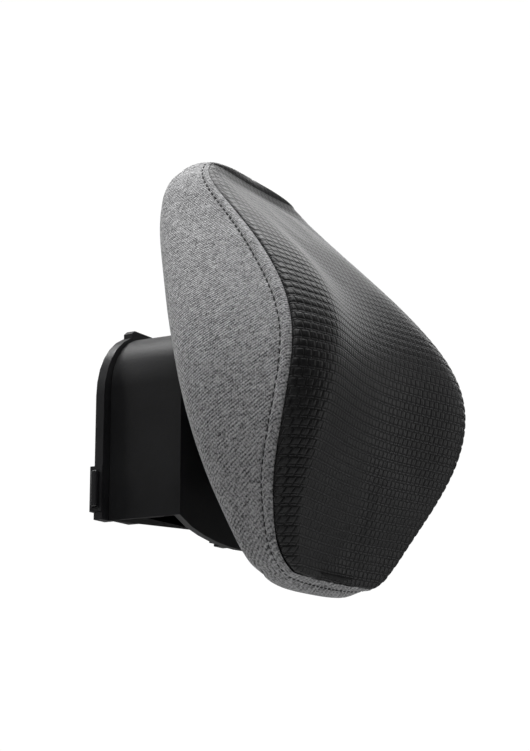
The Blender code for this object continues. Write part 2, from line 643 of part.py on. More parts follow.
    # ---- cushion solids from the form grid
    g, half = cushion_grid()
    nc = g.shape[1]
    inner_g, _ = cushion_grid(COVER_T)
    foam_g, _ = cushion_grid(COVER_T + 0.9)
    shell_g, _ = cushion_grid(10.0)
    seam_r = N_FRONT // 2
    front_cols = list(range(nc - seam_r, nc)) + list(range(0, seam_r + 1))
    back_cols = list(range(seam_r, nc - seam_r + 1))

    front = skin_from_grid("front_cover", g, inner_g, front_cols, knit, shift=(0, -0.4, 0))
    on_axis(front)
    back = skin_from_grid("back_cover", g, inner_g, back_cols, heather)
    cut = leaned(box("cover_window", (-POCKET_W / 2, POCKET_W / 2), (ya - 3.5, py + 40),
                     (pz - POCKET_H / 2, pz + POCKET_H / 2)))
    boolean(back, cut, "DIFFERENCE", cutters)
    on_axis(back)

    big = 160
    y_shell0 = ya - YOKE_T - GAP - SHELL_T
    y_foam = y_shell0 - GAP
    core = solid_from_grid("foam_core", foam_g, foam)
    cutter = leaned(box("core_cut", (-big, big), (y_foam, y_foam + 200), (pz - big, pz + big)))
    boolean(core, cutter, "DIFFERENCE", cutters)
    for k, (x, z) in enumerate(yoke_xz):
        h = leaned(cylinder("core_boss_%d" % k, 5.4, y_foam - 9, y_foam + 2, "Y", (x, z), 12))
        boolean(core, h, "DIFFERENCE", cutters)
    on_axis(core)

    pad = solid_from_grid("back_pad", foam_g, foam)
    y_pad = ya - YOKE_T
    cutter = leaned(box("pad_cut", (-big, big), (y_pad - 200, y_pad), (pz - big, pz + big)))
    boolean(pad, cutter, "DIFFERENCE", cutters)
    pocket = leaned(box("pad_pocket", (-POCKET_W / 2, POCKET_W / 2), (y_pad - 3, py + 40),
                        (pz - POCKET_H / 2, pz + POCKET_H / 2)))
    boolean(pad, pocket, "DIFFERENCE", cutters)
    on_axis(pad)

    shell = solid_from_grid("inner_shell", shell_g, board)
    slab = leaned(box("shell_slab", (-big, big), (y_shell0, y_shell0 + SHELL_T), (pz - big, pz + big)))
    boolean(shell, slab, "INTERSECT", cutters)
    for k, (x, z) in enumerate(yoke_xz):
        bs = leaned(cylinder("shell_boss_%d" % k, 5.0, y_shell0 - 8, y_shell0 + 1.0, "Y", (x, z), 12))
        boolean(shell, bs, "UNION", cutters)
    for k, (x, z) in enumerate(yoke_xz):
        h = leaned(cylinder("shell_bore_%d" % k, 3.2, y_shell0 - 6.6, y_shell0 + SHELL_T + 1, "Y", (x, z), 12))
        boolean(shell, h, "DIFFERENCE", cutters)
    on_axis(shell)

    for k, (x, z) in enumerate(yoke_xz):
        ins = cylinder("insert_nut_%d" % (k + 1), 3.0, y_shell0 + SHELL_T - 6.2, y_shell0 + SHELL_T - 0.2,
                       "Y", (x, z), 16, zinc)
        bore = leaned(cylinder("insert_bore_%d" % k, 2.25, y_shell0 - 8, y_shell0 + SHELL_T + 2, "Y", (x, z), 12))
        leaned(ins)
        boolean(ins, bore, "DIFFERENCE", cutters)
        on_axis(ins)
        s = leaned(cylinder("yoke_screw_%d" % (k + 1), 1.95, y_shell0 - 2.6, ya + 0.5, "Y", (x, z), 12, zinc))
        hd = leaned(cylinder("yoke_screw_head_%d" % k, 3.8, ya + 0.3, ya + 2.3, "Y", (x, z), 16))
        boolean(s, hd, "UNION", cutters)
        on_axis(s)

    # bezel that lines the pocket's opening in the back
    w, h = POCKET_W / 2 - GAP, POCKET_H / 2 - GAP
    bez = box("pocket_bezel", (-w, w), (ya - YOKE_T + 0.3, py - 2.6), (pz - h, pz + h), black)
    leaned(bez)
    inn = leaned(box("bezel_inner", (-w + BEZEL_T, w - BEZEL_T), (ya - YOKE_T - 3, py + 30),
                     (pz - h + BEZEL_T, pz + h - BEZEL_T)))
    boolean(bez, inn, "DIFFERENCE", cutters)
    on_axis(bez)

    cutters.hide_render = True


def rim_screw_xz():
    """Screw places on the rim: two low on the legs, two on the upper corners."""
    c = HOOD_W / 2 - HOOD_R
    zc = HOOD_TOP - HOOD_R
    r = HOOD_R - WALL / 2
    a = math.radians(58)
    return [(-(HOOD_W / 2 - WALL / 2), -52.0), (HOOD_W / 2 - WALL / 2, -52.0),
            (-(c + r * math.cos(a)), zc + r * math.sin(a)), (c + r * math.cos(a), zc + r * math.sin(a))]


main()
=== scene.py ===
"""Looks for the clip-on chair headrest: upholstered cushion in black weave and
heather grey, moulded saddle hood with its clip frame, and the tilt hinge."""
import math
import bpy
import bmesh
import numpy as np
from mathutils import Matrix, Vector, kdtree
from mathutils.bvhtree import BVHTree


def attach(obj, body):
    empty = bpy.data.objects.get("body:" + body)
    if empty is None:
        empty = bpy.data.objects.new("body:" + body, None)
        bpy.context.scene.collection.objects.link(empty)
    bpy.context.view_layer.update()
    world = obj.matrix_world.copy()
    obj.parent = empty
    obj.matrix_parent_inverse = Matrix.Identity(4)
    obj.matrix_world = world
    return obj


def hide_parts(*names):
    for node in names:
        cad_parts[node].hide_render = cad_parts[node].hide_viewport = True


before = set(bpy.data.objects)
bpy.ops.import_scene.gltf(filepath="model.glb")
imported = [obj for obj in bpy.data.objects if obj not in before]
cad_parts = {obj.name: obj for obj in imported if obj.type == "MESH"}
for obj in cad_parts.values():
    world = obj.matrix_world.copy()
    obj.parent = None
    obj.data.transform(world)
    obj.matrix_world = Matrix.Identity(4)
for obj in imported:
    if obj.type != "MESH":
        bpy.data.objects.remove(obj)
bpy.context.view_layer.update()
MM = 0.001

# ------------------------------------------------------------ cushion form, mm
# z, half width at the seam, seam y, half width at the ridge, ridge y, cradle
# depth, y of the back
TAB = np.array([
    (-111.4, 37.7, -67.6, 31.2, -70.0, 2.0, -49.6), (-108.4, 43.4, -67.5, 36.3, -71.5, 3.0, -47.6),
    (-102.4, 50.6, -67.7, 43.0, -74.6, 4.0, -45.6), (-94.4, 57.0, -69.4, 48.7, -77.9, 5.2, -43.6),
    (-84.4, 63.8, -72.6, 53.7, -82.7, 6.2, -41.1), (-74.4, 70.2, -76.6, 57.7, -87.7, 7.2, -38.7),
    (-64.4, 75.2, -81.0, 60.6, -92.6, 8.2, -36.3), (-54.4, 79.0, -85.2, 62.5, -97.0, 8.8, -33.9),
    (-44.4, 81.4, -88.6, 63.1, -100.4, 9.2, -31.4), (-34.4, 82.5, -91.1, 62.6, -102.5, 9.4, -28.8),
    (-24.4, 82.4, -92.1, 60.9, -103.0, 9.2, -26.1), (-14.4, 81.2, -91.2, 58.0, -101.6, 8.6, -23.3),
    (-4.4, 79.0, -88.2, 53.7, -98.1, 8.0, -20.2), (5.6, 76.0, -83.3, 48.5, -92.7, 7.4, -17.1),
    (15.6, 72.3, -76.8, 43.6, -85.6, 6.6, -13.9), (25.6, 68.4, -69.2, 40.0, -77.3, 5.8, -10.7),
    (35.6, 64.1, -60.7, 38.2, -68.0, 5.0, -7.5), (45.6, 59.5, -51.5, 38.0, -58.2, 4.0, -4.7),
    (55.6, 54.8, -42.0, 38.2, -48.1, 3.0, -3.0), (65.6, 49.9, -33.4, 37.6, -38.2, 2.0, -2.8),
    (73.6, 44.0, -28.3, 35.2, -30.8, 1.2, -4.4), (77.6, 39.5, -26.7, 31.1, -28.3, 0.8, -6.6)])
BAND, SQUARE, SQUARE_END = 1.75, 8.0, 2.4
HOLLOW, HOLLOW_Z, HOLLOW_H, HOLLOW_HW = 6.5, -4.0, 46.0, 66.0
TOP_RISE, TOP_CREST = 4.2, 5.2
FOOT_DROP, FOOT_CREST = 1.0, 5.0
PIVOT = (0.0, -29.2, -39.4)
LEAN = 15.0
POCKET_W, POCKET_H = 64.0, 54.0
WEAVE_X, WEAVE_BAND, WEAVE_Z = 3.45, 3.95, 4.05      # pitch of the weave's cells
STITCH_IN, STITCH_PITCH = 5.4, 3.6


def hermite(z, col):
    zs, vs = TAB[:, 0], TAB[:, col]
    m = np.gradient(vs, zs)
    z = np.clip(np.asarray(z, float), zs[0], zs[-1])
    i = np.clip(np.searchsorted(zs, z) - 1, 0, len(zs) - 2)
    h = zs[i + 1] - zs[i]
    t = (z - zs[i]) / h
    return ((2 * t**3 - 3 * t**2 + 1) * vs[i] + (t**3 - 2 * t**2 + t) * h * m[i]
            + (-2 * t**3 + 3 * t**2) * vs[i + 1] + (t**3 - t**2) * h * m[i + 1])


def section(z, u, square=SQUARE):
    xs, ys, xr, yr, dep, yk = (float(hermite(z, k)) for k in range(1, 7))
    x, y = np.zeros_like(u), np.zeros_like(u)
    a = u <= 0.62
    t = u[a] / 0.62
    x[a] = xr * t
    y[a] = yr + dep * (1 - t**2)**1.5
    b = (u > 0.62) & (u <= 1.0)
    ang = (u[b] - 0.62) / 0.38 * math.pi / 2
    x[b] = xr + (xs - xr) * np.sin(ang)**(2 / BAND)
    y[b] = ys + (yr - ys) * np.cos(ang)**(2 / BAND)
    c = u > 1.0
    ang = (u[c] - 1.0) * math.pi / 2
    x[c] = xs * np.cos(ang)**(2 / square)
    y[c] = ys + (yk - ys) * np.sin(ang)**(2 / square)
    dish = max(0.0, 1 - ((z - HOLLOW_Z) / HOLLOW_H)**2)**2
    y[c] -= HOLLOW * dish * np.clip(1 - (x[c] / HOLLOW_HW)**2, 0, 1)**2 * (ang > 0.6)
    return x, y


def half_loop(row, u):
    """One half loop of the form.  row is a height, or ('cap', angle share, up)."""
    if not isinstance(row, tuple):
        x, y = section(row, u)
        return np.stack([x, y, np.full_like(x, row)], 1)
    _, k, up = row
    zc, rise, crest = (TAB[-1, 0], TOP_RISE, TOP_CREST) if up > 0 else (TAB[0, 0], FOOT_DROP, FOOT_CREST)
    x, y = section(zc, u, SQUARE_END + (SQUARE - SQUARE_END) * (1 - k)**1.5)
    pole_y = float(hermite(zc, 2)) + 1.0
    w = np.clip((u - 1.0) / 0.5, 0, 1)
    w = w * w * (3 - 2 * w)
    front = np.clip(1 - u, 0, 1)
    a = k * math.pi / 2
    s = max(math.cos(a), 0.0)**0.9
    if up > 0:
        puff = 2.6 * math.sin(a)**2 * max(math.cos(a), 0) * w
    else:
        # the foot is plump behind the seam and rounds off towards its sides
        f = np.clip((y - pole_y) * s / 8.0, 0, 1)
        puff = math.sqrt(1 - s**7) * f * f * (3 - 2 * f) * np.sqrt(np.clip(1 - np.abs(x * s / 38.5)**3.2, 0, 1))
    zz = zc + up * (rise * math.sin(a) + crest * puff - 0.8 * math.sin(2 * a) * front)
    return np.stack([x * s, pole_y + (y - pole_y) * s, zz + 0 * x], 1)


def resample(curve, at):
    """Points of a polyline at given arc lengths, and the polyline's whole length."""
    d = np.concatenate([[0], np.cumsum(np.linalg.norm(np.diff(curve, axis=0), axis=1))])
    return np.stack([np.interp(at, d, curve[:, k]) for k in range(3)], 1), d[-1]


def rows_of(n_body, n_cap):
    """Row list from the foot pole to the top pole, evenly spread along the front."""
    zz = np.linspace(TAB[0, 0], TAB[-1, 0], 900)
    ridge = np.stack([hermite(zz, 4), zz], 1)
    s = np.concatenate([[0], np.cumsum(np.linalg.norm(np.diff(ridge, axis=0), axis=1))])
    body = np.interp(np.linspace(0, s[-1], n_body), s, zz)
    foot = [("cap", k, -1) for k in np.linspace(1, 0, n_cap + 1)[:-1]]
    top = [("cap", k, 1) for k in np.linspace(0, 1, n_cap + 1)[1:]]
    return foot + [float(v) for v in body] + top, np.interp(body, zz, s)


DENSE_F = np.concatenate([np.linspace(0, 0.62, 120)[:-1], 0.62 + 0.38 * (0.5 - 0.5 * np.cos(np.linspace(0, math.pi, 90)))])
DENSE_B = 1 + (0.5 + 0.5 * np.sign(np.linspace(-1, 1, 300)) * np.abs(np.linspace(-1, 1, 300))**2.2)
DENSE_B = np.unique(np.concatenate([np.linspace(1, 1.0008, 6), DENSE_B]))


def sew_in(z):
    """How far behind the edge the top stitching runs, closer at top and foot."""
    z = np.asarray(z, float)
    t = np.clip((z - 5.0) / 60.0, 0, 1)
    b = np.clip((-70.0 - z) / 35.0, 0, 1)
    return STITCH_IN - 2.3 * t * t * (3 - 2 * t) - 1.3 * b * b * (3 - 2 * b)


def mesh_from(name, verts, faces, mats=()):
    me = bpy.data.meshes.new(name)
    me.from_pydata([tuple(v) for v in np.asarray(verts) * MM], [], [tuple(f) for f in faces])
    me.update()
    ob = bpy.data.objects.new(name, me)
    bpy.context.scene.collection.objects.link(ob)
    for m in mats:
        me.materials.append(m)
    return ob


def smooth(ob):
    ob.data.polygons.foreach_set("use_smooth", [True] * len(ob.data.polygons))
    ob.data.update()


def grid_faces(nr, nc, off=0, flip=False, closed=False):
    r = np.arange(nr - 1)[:, None]
    c = np.arange(nc if closed else nc - 1)[None, :]
    a = off + r * nc + c
    b = off + r * nc + (c + 1) % nc
    q = np.stack([a + 0 * b, b, b + nc, a + nc], -1).reshape(-1, 4)
    return q[:, ::-1] if flip else q


def bvh_of(verts, faces):
    return BVHTree.FromPolygons([tuple(v) for v in verts], [tuple(int(i) for i in f) for f in faces])


# ------------------------------------------------- cushion: simulated swelling
def coarse_form():
    u = np.concatenate([np.linspace(0, 1, 27), 1 + (0.5 + 0.5 * np.sign(np.linspace(-1, 1, 27)) * np.abs(np.linspace(-1, 1, 27))**1.6)[1:]])
    rows, _ = rows_of(70, 8)
    loops = []
    for row in rows[1:-1]:
        h = half_loop(row, u)
        loops.append(np.concatenate([h, (h * [-1, 1, 1])[-2:0:-1]]))
    g = np.array(loops)
    nr, nc = g.shape[:2]
    pole0 = half_loop(rows[0], u).mean(0) * [0, 1, 1]
    pole1 = half_loop(rows[-1], u).mean(0) * [0, 1, 1]
    v = np.concatenate([g.reshape(-1, 3), [pole0], [pole1]])
    f = [list(q) for q in grid_faces(nr, nc, closed=True)]
    n = nr * nc
    for c in range(nc):
        d = (c + 1) % nc
        f.append([n, d, c])
        f.append([n + 1, (nr - 1) * nc + c, (nr - 1) * nc + d])
    return v, f


FV, FF = coarse_form()
FORM = bvh_of(FV, FF)
SWELL = 3.2      # most that a point of the pad may move
START_IN = 1.6   # the pad starts this much inside the form


def swell():
    """Displacements of the pad under cloth pressure, as (points, offsets) in mm."""
    ob = mesh_from("swell_pad", FV, FF)
    bpy.context.view_layer.objects.active = ob
    ob.select_set(True)
    bm = bmesh.new()
    bm.from_mesh(ob.data)
    bmesh.ops.recalc_face_normals(bm, faces=bm.faces)
    bm.normal_update()
    for v in bm.verts:
        v.co = v.co - v.normal * START_IN * MM
    bm.to_mesh(ob.data)
    bm.free()
    rm = ob.modifiers.new("remesh", "REMESH")
    rm.mode = "VOXEL"
    rm.voxel_size = 0.0052
    dg = bpy.context.evaluated_depsgraph_get()
    me = bpy.data.meshes.new_from_object(ob.evaluated_get(dg))
    ob.modifiers.clear()
    ob.data = me
    start = np.array([v.co[:] for v in me.vertices])
    # the seam holds still; the foam swells elsewhere
    seam = seam_points(240)
    kd = kdtree.KDTree(len(seam))
    for i, p in enumerate(seam):
        kd.insert(Vector(p), i)
    kd.balance()
    grp = ob.vertex_groups.new(name="held")
    for v in me.vertices:
        _, _, d = kd.find(Vector(v.co) / MM)
        w = max(0.0, 1.0 - max(0.0, d - 4.0) / 6.0)
        if w > 0:
            grp.add([v.index], w, "REPLACE")
    cl = ob.modifiers.new("cloth", "CLOTH")
    st = cl.settings
    st.quality = 5
    st.mass = 0.15
    st.tension_stiffness = st.compression_stiffness = 18
    st.shear_stiffness = 8
    st.bending_stiffness = 4
    st.use_pressure = True
    st.uniform_pressure_force = 4.0
    st.effector_weights.gravity = 0.0
    st.vertex_group_mass = "held"
    cl.collision_settings.use_collision = False
    cl.point_cache.frame_start, cl.point_cache.frame_end = 1, 20
    sc = bpy.context.scene
    for f in range(1, 21):
        sc.frame_set(f)
    dg = bpy.context.evaluated_depsgraph_get()
    end_me = bpy.data.meshes.new_from_object(ob.evaluated_get(dg))
    end = np.array([v.co[:] for v in end_me.vertices])
    sc.frame_set(1)
    bpy.data.objects.remove(ob, do_unlink=True)
    off = (end - start) / MM
    ln = np.linalg.norm(off, axis=1, keepdims=True)
    off *= np.minimum(1.0, SWELL / np.maximum(ln, 1e-9))
    print("cloth: %d points, mean move %.2f mm, most %.2f mm" % (len(start), ln.mean(), ln.max()))
    return start / MM, off


def seam_points(n):
    rows, _ = rows_of(n, 12)
    pts = [half_loop(r, np.array([1.0]))[0] for r in rows]
    right = np.array(pts)
    left = right[::-1] * [-1, 1, 1]
    return np.concatenate([right, left[1:-1]])


SEAM = seam_points(900)
seam_kd = kdtree.KDTree(len(SEAM))
for i_, p_ in enumerate(SEAM):
    seam_kd.insert(Vector(p_), i_)
seam_kd.balance()


def seam_distance(g):
    """Distance of each grid point from the sewn edge."""
    d = np.array([seam_kd.find(Vector(p))[2] for p in g.reshape(-1, 3)])
    return np.sqrt(np.maximum(d * d - 0.02, 0.0)).reshape(g.shape[:2])


pad_at, pad_off = swell()
pad_kd = kdtree.KDTree(len(pad_at))
for i, p in enumerate(pad_at):
    pad_kd.insert(Vector(p), i)
pad_kd.balance()


def plump(points, normals):
    """Moves points as the simulated pad swelled, measured against its mean."""
    if pad_at is None:
        return points
    out = np.zeros(len(points))
    for i, p in enumerate(points):
        tot, acc = 0.0, np.zeros(3)
        for _, j, d in pad_kd.find_n(Vector(p), 22):
            w = 1.0 / (d * d + 45.0)
            tot += w
            acc += w * pad_off[j]
        out[i] = float(np.dot(acc / tot, normals[i]))
    # the sewn edge itself does not move
    near = np.clip(seam_distance(points[None])[0] / 16.0, 0, 1)
    near = near * near * (3 - 2 * near)
    # the back lies against its board and keeps clear of the hood
    b = np.clip((normals[:, 1] - 0.1) / 0.45, 0, 1)
    most = 1.3 - 1.75 * b * b * (3 - 2 * b)
    move = np.minimum(np.clip(out - START_IN + 0.35, -0.7, 1.3), most)
    return points + normals * (move * near)[:, None]


def normals_of(g):
    """Outward normals of a grid (rows upward, columns to +X round the front)."""
    du = np.gradient(g, axis=1)
    dv = np.gradient(g, axis=0)
    n = np.cross(du, dv)
    ln = np.linalg.norm(n, axis=2, keepdims=True)
    n = np.where(ln > 1e-9, n / np.maximum(ln, 1e-9), 0)
    return n


# ---------------------------------------------------------- shader utilities
class Nodes:
    def __init__(self, name):
        self.mat = bpy.data.materials.new(name)
        self.mat.use_nodes = True
        self.t = self.mat.node_tree
        self.bsdf = self.t.nodes["Principled BSDF"]

    def put(self, kind, **kw):
        n = self.t.nodes.new(kind)
        for k, v in kw.items():
            setattr(n, k, v)
        return n

    def link(self, a, b):
        self.t.links.new(a, b)

    def math(self, op, a, b=None, c=None, clamp=False):
        n = self.put("ShaderNodeMath", operation=op, use_clamp=clamp)
        for i, v in enumerate((a, b, c)):
            if v is None:
                continue
            if isinstance(v, (int, float)):
                n.inputs[i].default_value = v
            else:
                self.link(v, n.inputs[i])
        return n.outputs[0]

    def ramp(self, fac, stops, interp="LINEAR"):
        n = self.put("ShaderNodeValToRGB")
        n.color_ramp.interpolation = interp
        el = n.color_ramp.elements
        while len(el) > 1:
            el.remove(el[-1])
        el[0].position, el[0].color = stops[0][0], (*stops[0][1], 1)
        for p, c in stops[1:]:
            e = el.new(p)
            e.color = (*c, 1)
        self.link(fac, n.inputs[0])
        return n.outputs[0]

    def smoothstep(self, v, lo, hi):
        n = self.put("ShaderNodeMapRange", interpolation_type="SMOOTHSTEP")
        n.inputs["From Min"].default_value = lo
        n.inputs["From Max"].default_value = hi
        self.link(v, n.inputs["Value"])
        return n.outputs["Result"]

    def noise(self, vec, scale, detail=3.0, rough=0.5):
        n = self.put("ShaderNodeTexNoise")
        n.inputs["Scale"].default_value = scale
        n.inputs["Detail"].default_value = detail
        n.inputs["Roughness"].default_value = rough
        if vec is not None:
            self.link(vec, n.inputs["Vector"])
        return n.outputs["Fac"]

    def mix(self, fac, a, b, kind="MIX"):
        n = self.put("ShaderNodeMix", data_type="RGBA", blend_type=kind)
        for sock, v in (("Factor", fac), ("A", a), ("B", b)):
            s = [i for i in n.inputs if i.name == sock and (i.type == ("VALUE" if sock == "Factor" else "RGBA"))][0]
            if isinstance(v, (int, float)):
                s.default_value = v
            elif isinstance(v, tuple):
                s.default_value = (*v, 1)
            else:
                self.link(v, s)
        return [o for o in n.outputs if o.type == "RGBA"][0]

    def bump(self, height, strength, dist, normal=None):
        n = self.put("ShaderNodeBump")
        n.inputs["Strength"].default_value = strength
        n.inputs["Distance"].default_value = dist
        self.link(height, n.inputs["Height"])
        if normal is not None:
            self.link(normal, n.inputs["Normal"])
        return n.outputs[0]

    def set(self, **kw):
        for k, v in kw.items():
            s = self.bsdf.inputs[k.replace("_", " ")]
            if isinstance(v, (int, float)):
                s.default_value = v
            elif isinstance(v, tuple):
                s.default_value = (*v, 1)
            else:
                self.link(v, s)
        return self.mat


def coords(n):
    return n.put("ShaderNodeTexCoord").outputs["Object"]


def dot3(n, vec, x, y, z):
    d = n.put("ShaderNodeVectorMath", operation="DOT_PRODUCT")
    n.link(vec, d.inputs[0])
    d.inputs[1].default_value = (x, y, z)
    return d.outputs["Value"]


def weave_material():
    """Coarse black weave: stout upright blocks between thin cross threads."""
    n = Nodes("black_weave_cloth")
    uv = n.put("ShaderNodeUVMap", uv_map="weave").outputs[0]
    sep = n.put("ShaderNodeSeparateXYZ")
    n.link(uv, sep.inputs[0])
    u, v = sep.outputs[0], sep.outputs[1]
    zuv = n.put("ShaderNodeUVMap", uv_map="zone").outputs[0]
    zsep = n.put("ShaderNodeSeparateXYZ")
    n.link(zuv, zsep.inputs[0])
    zone = zsep.outputs[0]
    row = n.math("FLOOR", v)
    odd = n.math("MODULO", row, 2.0)
    us = n.math("ADD", u, n.math("MULTIPLY", odd, 0.5))
    fu = n.math("FRACT", us)
    fv = n.math("FRACT", v)
    du = n.math("ABSOLUTE", n.math("SUBTRACT", fu, 0.5))          # 0 middle .. 0.5 edge
    # upright blocks fill the lower three quarters of each row
    dv = n.math("ABSOLUTE", n.math("SUBTRACT", fv, 0.36))
    bx = n.smoothstep(du, 0.47, 0.34)
    bz = n.smoothstep(dv, 0.36, 0.24)
    block = n.math("MULTIPLY", bx, bz)
    # cross threads sit over the joints between blocks
    fu2 = n.math("FRACT", n.math("ADD", us, 0.5))
    du2 = n.math("ABSOLUTE", n.math("SUBTRACT", fu2, 0.5))
    dx = n.smoothstep(du2, 0.46, 0.32)
    dz = n.smoothstep(n.math("ABSOLUTE", n.math("SUBTRACT", fv, 0.86)), 0.12, 0.03)
    dash = n.math("MULTIPLY", dx, dz)
    # plies within the block and fine filaments across the thread
    ply = n.math("COSINE", n.math("MULTIPLY", fu, 2 * math.pi * 3))
    ply = n.math("MULTIPLY", n.math("ADD", ply, 1.0), 0.5)
    fine = n.noise(uv, 9.0, 4.0, 0.7)
    cell = n.put("ShaderNodeTexWhiteNoise", noise_dimensions="2D")
    comb = n.put("ShaderNodeCombineXYZ")
    n.link(n.math("FLOOR", us), comb.inputs[0])
    n.link(row, comb.inputs[1])
    n.link(comb.outputs[0], cell.inputs["Vector"])
    rnd = cell.outputs["Value"]
    h = n.math("ADD", n.math("MULTIPLY", block, n.math("ADD", 0.72, n.math("MULTIPLY", ply, 0.12))),
               n.math("MULTIPLY", dash, 0.85))
    h = n.math("ADD", h, n.math("MULTIPLY", fine, 0.16))
    h = n.math("ADD", h, n.math("MULTIPLY", n.math("MULTIPLY", rnd, block), 0.10))
    up = n.math("MAXIMUM", block, dash)
    tone = n.math("ADD", n.math("MULTIPLY", rnd, 0.35), n.math("MULTIPLY", fine, 0.5))
    thread = n.ramp(tone, [(0.1, (0.005, 0.005, 0.0055)), (0.9, (0.0105, 0.0105, 0.0112))])
    col = n.mix(up, (0.0022, 0.0022, 0.0024), thread)
    col = n.mix(n.math("MULTIPLY", dash, 0.75), col, (0.030, 0.030, 0.032))
    rough = n.math("SUBTRACT", 0.60, n.math("MULTIPLY", up, 0.20))
    rough = n.math("ADD", rough, n.math("MULTIPLY", fine, 0.08))
    n.set(Base_Color=col, Roughness=rough, Specular_IOR_Level=0.26,
          Normal=n.bump(n.math("MULTIPLY", h, zone), 1.0, 0.0006))
    n.bsdf.inputs["Sheen Weight"].default_value = 0.06
    n.bsdf.inputs["Sheen Roughness"].default_value = 0.4
    return n.mat


def heather_material():
    """Grey melange: fine slanted ribs, light and dark fibres mixed, dark slubs."""
    n = Nodes("grey_heather_cloth")
    p = coords(n)
    along = dot3(n, p, 180.0, -880.0, 440.0)       # along the ribs, 1/mm x 1000
    across = dot3(n, p, 330.0, 440.0, 880.0)       # across the ribs
    warp = n.noise(p, 90.0, 2.0, 0.5)
    across = n.math("ADD", across, n.math("MULTIPLY", warp, 1.0))
    rib = n.math("SINE", n.math("MULTIPLY", across, 2 * math.pi / 1.12))
    rib = n.math("ADD", n.math("MULTIPLY", rib, 0.5), 0.5)
    wob = n.math("ADD", along, n.math("MULTIPLY", warp, 2.0))
    pick = n.math("SINE", n.math("ADD", n.math("MULTIPLY", wob, 2 * math.pi / 1.25),
                                 n.math("MULTIPLY", n.math("FLOOR", n.math("DIVIDE", across, 1.38)), 2.4)))
    pick = n.math("ADD", n.math("MULTIPLY", pick, 0.5), 0.5)
    comb = n.put("ShaderNodeCombineXYZ")
    n.link(n.math("MULTIPLY", along, 0.28), comb.inputs[0])
    n.link(n.math("MULTIPLY", across, 0.95), comb.inputs[1])
    n.link(dot3(n, p, 600.0, 0.0, 0.0), comb.inputs[2])
    fibre = n.noise(comb.outputs[0], 1.35, 5.0, 0.72)             # drawn out along the rib
    speck = n.noise(p, 1150.0, 3.0, 0.62)
    blot = n.noise(p, 210.0, 3.0, 0.55)
    slub = n.put("ShaderNodeTexVoronoi", feature="F1")
    slub.inputs["Scale"].default_value = 0.30
    n.link(comb.outputs[0], slub.inputs["Vector"])
    slubs = n.smoothstep(slub.outputs["Distance"], 0.16, 0.04)
    t = n.math("ADD", n.math("MULTIPLY", fibre, 0.72), n.math("MULTIPLY", speck, 0.52))
    t = n.math("ADD", t, n.math("MULTIPLY", blot, 0.06))
    t = n.math("ADD", t, n.math("MULTIPLY", rib, 0.10))
    t = n.math("ADD", t, n.math("MULTIPLY", pick, 0.07))
    col = n.ramp(t, [(0.53, (0.008, 0.008, 0.009)), (0.61, (0.068, 0.068, 0.070)),
                     (0.72, (0.235, 0.235, 0.239)), (0.88, (0.45, 0.45, 0.455))])
    col = n.mix(n.math("MULTIPLY", slubs, 0.65), col, (0.030, 0.030, 0.032))
    h = n.math("ADD", n.math("MULTIPLY", rib, 0.38), n.math("MULTIPLY", n.math("MULTIPLY", pick, rib), 0.45))
    h = n.math("ADD", h, n.math("MULTIPLY", speck, 0.5))
    n.set(Base_Color=col, Roughness=n.math("ADD", 0.84, n.math("MULTIPLY", fibre, 0.12)),
          Specular_IOR_Level=0.25, Normal=n.bump(h, 0.8, 0.00032))
    n.bsdf.inputs["Sheen Weight"].default_value = 0.25
    n.bsdf.inputs["Sheen Roughness"].default_value = 0.5
    return n.mat


def moulded(name, base, rough, grain=0.35, scale=1500.0, var=0.25):
    """Moulded plastic: spark-eroded grain, faint flow marks, handling shine."""
    n = Nodes(name)
    p = coords(n)
    g = n.noise(p, scale, 3.0, 0.6)
    g2 = n.noise(p, scale * 0.32, 2.0, 0.5)
    flow = n.noise(p, 28.0, 4.0, 0.55)
    lo = tuple(c * (1 - var) for c in base)
    hi = tuple(c * (1 + var) for c in base)
    col = n.ramp(n.math("ADD", n.math("MULTIPLY", flow, 0.7), n.math("MULTIPLY", g, 0.3)), [(0.3, lo), (0.7, hi)])
    h = n.math("ADD", g, n.math("MULTIPLY", g2, 0.8))
    r = n.math("ADD", rough - 0.07, n.math("MULTIPLY", flow, 0.14))
    return n.set(Base_Color=col, Roughness=r, Normal=n.bump(h, grain, 0.00010))


def metal(name, base, rough, brushed=0.15, coated=False):
    n = Nodes(name)
    p = coords(n)
    g = n.noise(p, 900.0, 4.0, 0.6)
    stain = n.noise(p, 120.0, 3.0, 0.5)
    lo = tuple(c * 0.82 for c in base)
    hi = tuple(min(1.0, c * 1.15) for c in base)
    col = n.ramp(stain, [(0.35, lo), (0.65, hi)])
    n.set(Base_Color=col, Roughness=n.math("ADD", rough - 0.06, n.math("MULTIPLY", g, 0.16)),
          Normal=n.bump(g, brushed, 0.00006))
    n.bsdf.inputs["Metallic"].default_value = 0.0 if coated else 1.0
    return n.mat


def foam_material():
    n = Nodes("cut_foam")
    p = coords(n)
    v = n.put("ShaderNodeTexVoronoi", feature="F1")
    v.inputs["Scale"].default_value = 900.0
    n.link(p, v.inputs["Vector"])
    cells = v.outputs["Distance"]
    col = n.ramp(cells, [(0.1, (0.50, 0.47, 0.38)), (0.6, (0.80, 0.76, 0.64))])
    return n.set(Base_Color=col, Roughness=0.95, Normal=n.bump(cells, 0.6, 0.0003))


def thread_material(name, base):
    n = Nodes(name)
    p = coords(n)
    g = n.noise(p, 2600.0, 3.0, 0.6)
    col = n.ramp(g, [(0.3, tuple(c * 0.6 for c in base)), (0.7, tuple(c * 1.4 for c in base))])
    return n.set(Base_Color=col, Roughness=0.7, Normal=n.bump(g, 0.5, 0.0001))


